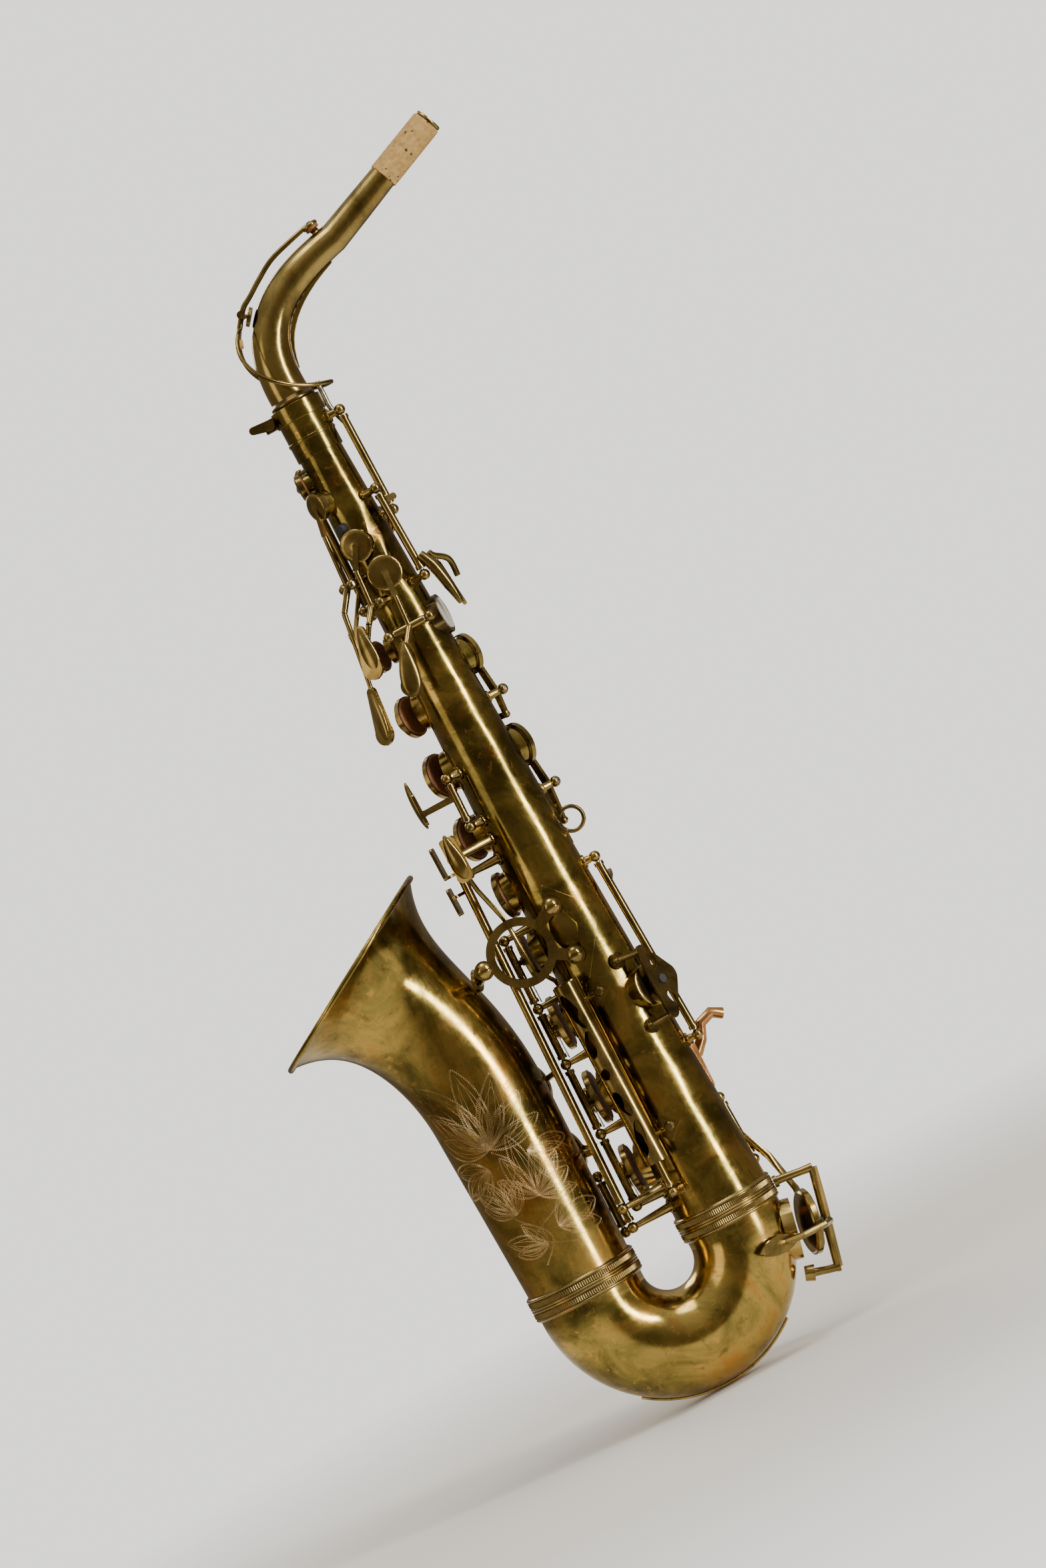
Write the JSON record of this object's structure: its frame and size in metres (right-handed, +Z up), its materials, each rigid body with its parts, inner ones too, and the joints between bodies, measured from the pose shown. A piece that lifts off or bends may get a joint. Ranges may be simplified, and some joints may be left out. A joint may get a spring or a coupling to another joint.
{
  "type": "alto saxophone",
  "caption": "Alto saxophone in aged brass: conical body, curved neck with cork, U-shaped bow, flared bell, padded keys on hinge rods and a strap ring.",
  "frame": {"origin": "centre of the strap ring on the back of the body tube", "axes": "+Z up along the body tube's axis; -X towards the bell; +X towards the player; -Y is the player's left"},
  "size_m": [0.316, 0.1264, 0.6906],
  "materials": {
    "body_brass": "old unlacquered brass with brown and green patina",
    "key_brass": "dull olive brass, bright where it is handled",
    "steel": "polished steel rods and blued springs",
    "cork": "natural cork",
    "pad_leather": "tan leather over felt and card",
    "rubber": "black rubber",
    "pearl": "thumb rest insert",
    "dark_brass": "blackened brass"
  },
  "bodies": {
    "horn": {"body_tube": "body_brass", "bow": "body_brass", "bell": "body_brass", "body_ferrule": "body_brass", "bell_ferrule": "body_brass", "bow_wear_strip": "dark_brass", "neck_receiver": "body_brass", "key_posts": "key_brass", "hinge_rods": "steel", "needle_springs": "steel", "brace_ring": "key_brass", "brace_mounts": "key_brass", "brace_screws": "key_brass", "rod_guard": "key_brass", "trill_guard": "dark_brass", "low_c_guard": "key_brass", "guard_screws": "key_brass", "bumpers": "rubber", "thumb_hook": "key_brass", "thumb_rest": "key_brass", "thumb_rest_pearl": "pearl", "strap_ring": "key_brass"},
    "neck_octave": {"neck_octave_key": "key_brass"},
    "octave_lever": {"octave_lever": "key_brass"},
    "octave_pin": {"octave_pin_key": "steel"},
    "palm_d": {"palm_d_key": "key_brass"},
    "palm_eb": {"palm_eb_key": "key_brass"},
    "palm_f": {"palm_f_key": "key_brass"},
    "front_f": {"front_f_key": "key_brass"},
    "high_e": {"high_e_key": "key_brass"},
    "stack_c": {"c_key": "key_brass"},
    "stack_b": {"b_key": "key_brass", "b_pad": "pad_leather"},
    "stack_a": {"a_key": "key_brass", "a_pad": "pad_leather"},
    "stack_g": {"g_key": "key_brass", "g_pad": "pad_leather"},
    "gsharp": {"gsharp_key": "key_brass"},
    "gsharp_lever": {"gsharp_lever": "key_brass"},
    "stack_fsharp": {"fsharp_key": "key_brass"},
    "stack_f": {"f_key": "key_brass"},
    "stack_e": {"e_key": "key_brass"},
    "stack_d": {"d_key": "key_brass"},
    "fsharp_trill": {"fsharp_trill_key": "key_brass"},
    "side_c": {"side_c_key": "key_brass"},
    "side_bb": {"side_bb_key": "key_brass"},
    "side_c_lever": {"side_c_lever": "key_brass"},
    "side_bb_lever": {"side_bb_lever": "key_brass"},
    "low_eb": {"low_eb_key": "key_brass"},
    "low_c": {"low_c_key": "key_brass"},
    "low_c_lever": {"low_c_lever": "key_brass"},
    "csharp_lever": {"csharp_lever": "key_brass"},
    "low_csharp": {"low_csharp_key": "key_brass"},
    "low_b": {"low_b_key": "key_brass"},
    "low_bb": {"low_bb_key": "key_brass"},
    "neck": {"neck_tube": "body_brass", "neck_brace": "body_brass", "neck_cork": "cork", "neck_octave_saddle": "key_brass"},
    "clamp": {"clamp_screw": "key_brass"}
  },
  "joints": [
    {"name": "neck_octave_pivot", "type": "hinge", "parent": "neck", "child": "neck_octave", "pos_m": [-0.0288, 0, 0.3262], "axis": [0, -1, 0], "range_deg": [0, 5], "stiffness_Nm_per_rad": 0.012, "springref_deg": -2.5},
    {"name": "octave_lever_pivot", "type": "hinge", "parent": "horn", "child": "octave_lever", "pos_m": [-0.00822, -0.01601, 0.181], "axis": [-0.0242, 0.0218, 0.9995], "range_deg": [0, 10], "stiffness_Nm_per_rad": 0.012, "springref_deg": -5},
    {"name": "octave_pin_pivot", "type": "hinge", "parent": "horn", "child": "octave_pin", "pos_m": [-0.0058, -0.0054, 0.225], "axis": [0, 0, 1], "range_deg": [-14, 0], "stiffness_Nm_per_rad": 0.012, "springref_deg": 7},
    {"name": "palm_d_pivot", "type": "hinge", "parent": "horn", "child": "palm_d", "pos_m": [-0.02818, -0.02489, 0.133], "axis": [0.9962, -0.0872, 0], "range_deg": [0, 8], "stiffness_Nm_per_rad": 0.012, "springref_deg": -4},
    {"name": "palm_eb_pivot", "type": "hinge", "parent": "horn", "child": "palm_eb", "pos_m": [-0.0407, -0.01881, 0.152], "axis": [0.788, -0.6157, 0], "range_deg": [0, 8], "stiffness_Nm_per_rad": 0.012, "springref_deg": -4},
    {"name": "palm_f_pivot", "type": "hinge", "parent": "horn", "child": "palm_f", "pos_m": [-0.04716, -0.00987, 0.168], "axis": [0.4226, -0.9063, 0], "range_deg": [0, 6], "stiffness_Nm_per_rad": 0.012, "springref_deg": -3},
    {"name": "front_f_pivot", "type": "hinge", "parent": "horn", "child": "front_f", "pos_m": [-0.04292, 0.01419, 0.1915], "axis": [0.025, -0.0209, 0.9995], "range_deg": [-10, 0], "stiffness_Nm_per_rad": 0.012, "springref_deg": 5},
    {"name": "high_e_pivot", "type": "hinge", "parent": "horn", "child": "high_e", "pos_m": [-0.02773, 0.02478, 0.107], "axis": [0.0023, -0.0325, 0.9995], "range_deg": [0, 12], "stiffness_Nm_per_rad": 0.012, "springref_deg": -6},
    {"name": "stack_c_pivot", "type": "hinge", "parent": "horn", "child": "stack_c", "pos_m": [-0.03633, 0.02557, 0.0535], "axis": [0.0122, -0.0302, 0.9995], "range_deg": [0, 14], "stiffness_Nm_per_rad": 0.012, "springref_deg": -7},
    {"name": "stack_b_pivot", "type": "hinge", "parent": "horn", "child": "stack_b", "pos_m": [-0.03633, 0.02557, 0.0535], "axis": [0.0122, -0.0302, 0.9995], "range_deg": [0, 14], "stiffness_Nm_per_rad": 0.012, "springref_deg": -7},
    {"name": "stack_a_pivot", "type": "hinge", "parent": "horn", "child": "stack_a", "pos_m": [-0.03633, 0.02557, 0.0535], "axis": [0.0122, -0.0302, 0.9995], "range_deg": [0, 14], "stiffness_Nm_per_rad": 0.012, "springref_deg": -7},
    {"name": "stack_g_pivot", "type": "hinge", "parent": "horn", "child": "stack_g", "pos_m": [-0.03633, 0.02557, 0.0535], "axis": [0.0122, -0.0302, 0.9995], "range_deg": [0, 14], "stiffness_Nm_per_rad": 0.012, "springref_deg": -7},
    {"name": "gsharp_pivot", "type": "hinge", "parent": "horn", "child": "gsharp", "pos_m": [-0.03633, 0.02557, 0.0535], "axis": [0.0122, -0.0302, 0.9995], "range_deg": [-9.6, 0], "stiffness_Nm_per_rad": 0.012, "springref_deg": 4.8},
    {"name": "gsharp_lever_pivot", "type": "hinge", "parent": "horn", "child": "gsharp_lever", "pos_m": [-0.04997, -0.01275, 0.036], "axis": [0.0288, 0.0153, 0.9995], "range_deg": [0, 8], "stiffness_Nm_per_rad": 0.012, "springref_deg": -4},
    {"name": "stack_fsharp_pivot", "type": "hinge", "parent": "horn", "child": "stack_fsharp", "pos_m": [-0.0661, -0.0085, -0.126], "axis": [0.0284, 0.0057, 0.9996], "range_deg": [-14, 0], "stiffness_Nm_per_rad": 0.012, "springref_deg": 7},
    {"name": "stack_f_pivot", "type": "hinge", "parent": "horn", "child": "stack_f", "pos_m": [-0.0661, -0.0085, -0.126], "axis": [0.0284, 0.0057, 0.9996], "range_deg": [-14, 0], "stiffness_Nm_per_rad": 0.012, "springref_deg": 7},
    {"name": "stack_e_pivot", "type": "hinge", "parent": "horn", "child": "stack_e", "pos_m": [-0.0661, -0.0085, -0.126], "axis": [0.0284, 0.0057, 0.9996], "range_deg": [-14, 0], "stiffness_Nm_per_rad": 0.012, "springref_deg": 7},
    {"name": "stack_d_pivot", "type": "hinge", "parent": "horn", "child": "stack_d", "pos_m": [-0.0661, -0.0085, -0.126], "axis": [0.0284, 0.0057, 0.9996], "range_deg": [-14, 0], "stiffness_Nm_per_rad": 0.012, "springref_deg": 7},
    {"name": "fsharp_trill_pivot", "type": "hinge", "parent": "horn", "child": "fsharp_trill", "pos_m": [0.00329, -0.00308, -0.0805], "axis": [-0.0324, 0.0034, 0.9995], "range_deg": [0, 8], "stiffness_Nm_per_rad": 0.012, "springref_deg": -4},
    {"name": "side_c_pivot", "type": "hinge", "parent": "horn", "child": "side_c", "pos_m": [-0.00443, 0.01401, 0.08], "axis": [-0.5446, 0.8387, 0], "range_deg": [0, 9], "stiffness_Nm_per_rad": 0.012, "springref_deg": -4.5},
    {"name": "side_bb_pivot", "type": "hinge", "parent": "horn", "child": "side_bb", "pos_m": [-0.00338, 0.01584, 0.022], "axis": [-0.5736, 0.8192, 0], "range_deg": [0, 9], "stiffness_Nm_per_rad": 0.012, "springref_deg": -4.5},
    {"name": "side_c_lever_pivot", "type": "hinge", "parent": "horn", "child": "side_c_lever", "pos_m": [-0.01942, 0.02638, 0.035], "axis": [-0.0079, -0.0316, 0.9995], "range_deg": [0, 6], "stiffness_Nm_per_rad": 0.012, "springref_deg": -3},
    {"name": "side_bb_lever_pivot", "type": "hinge", "parent": "horn", "child": "side_bb_lever", "pos_m": [-0.01112, 0.02475, -0.017], "axis": [-0.0168, -0.0279, 0.9995], "range_deg": [0, 6], "stiffness_Nm_per_rad": 0.012, "springref_deg": -3},
    {"name": "low_eb_pivot", "type": "hinge", "parent": "horn", "child": "low_eb", "pos_m": [-0.0421, 0.03028, -0.183], "axis": [0.0153, -0.0288, 0.9995], "range_deg": [0, 12], "stiffness_Nm_per_rad": 0.012, "springref_deg": -6},
    {"name": "low_c_pivot", "type": "hinge", "parent": "horn", "child": "low_c", "pos_m": [-0.00026, 0.02084, -0.193], "axis": [-0.0253, -0.0205, 0.9995], "range_deg": [-14, 0], "stiffness_Nm_per_rad": 0.012, "springref_deg": 7},
    {"name": "low_c_lever_pivot", "type": "hinge", "parent": "horn", "child": "low_c_lever", "pos_m": [-0.0421, 0.03028, -0.183], "axis": [0.0153, -0.0288, 0.9995], "range_deg": [0, 8.75], "stiffness_Nm_per_rad": 0.012, "springref_deg": -4.38},
    {"name": "csharp_lever_pivot", "type": "hinge", "parent": "horn", "child": "csharp_lever", "pos_m": [-0.04583, -0.02632, -0.142], "axis": [0.0196, 0.026, 0.9995], "range_deg": [-6, 0], "stiffness_Nm_per_rad": 0.012, "springref_deg": 3},
    {"name": "low_csharp_pivot", "type": "hinge", "parent": "horn", "child": "low_csharp", "pos_m": [-0.08053, 0.01909, -0.197], "axis": [0.0257, 0.0148, 0.9996], "range_deg": [-10, 0], "stiffness_Nm_per_rad": 0.012, "springref_deg": 5},
    {"name": "low_b_pivot", "type": "hinge", "parent": "horn", "child": "low_b", "pos_m": [-0.0715, -0.0205, -0.098], "axis": [0.0394, 0, 0.9992], "range_deg": [0, 7], "stiffness_Nm_per_rad": 0.012, "springref_deg": -3.5},
    {"name": "low_bb_pivot", "type": "hinge", "parent": "horn", "child": "low_bb", "pos_m": [-0.0711, -0.0135, -0.098], "axis": [0.0394, 0, 0.9992], "range_deg": [0, 7], "stiffness_Nm_per_rad": 0.012, "springref_deg": -3.5},
    {"name": "neck_swivel", "type": "hinge", "parent": "horn", "child": "neck", "pos_m": [-0.026, 0, 0.258], "axis": [0, 0, 1], "range_deg": [-15, 15]},
    {"name": "clamp_turn", "type": "hinge", "parent": "horn", "child": "clamp", "pos_m": [-0.0438, 0, 0.2656], "axis": [0, -1, 0], "range_deg": [-60, 60]}
  ],
  "couplings": [
    {"joint": "octave_pin_pivot", "follows": "octave_lever_pivot", "ratio": -1.4},
    {"joint": "neck_octave_pivot", "follows": "octave_lever_pivot", "ratio": 0.5},
    {"joint": "gsharp_pivot", "follows": "gsharp_lever_pivot", "ratio": -1.2},
    {"joint": "low_c_pivot", "follows": "low_c_lever_pivot", "ratio": -1.6},
    {"joint": "low_csharp_pivot", "follows": "csharp_lever_pivot", "ratio": 1.6667},
    {"joint": "side_c_pivot", "follows": "side_c_lever_pivot", "ratio": 1.5},
    {"joint": "side_bb_pivot", "follows": "side_bb_lever_pivot", "ratio": 1.5}
  ]
}
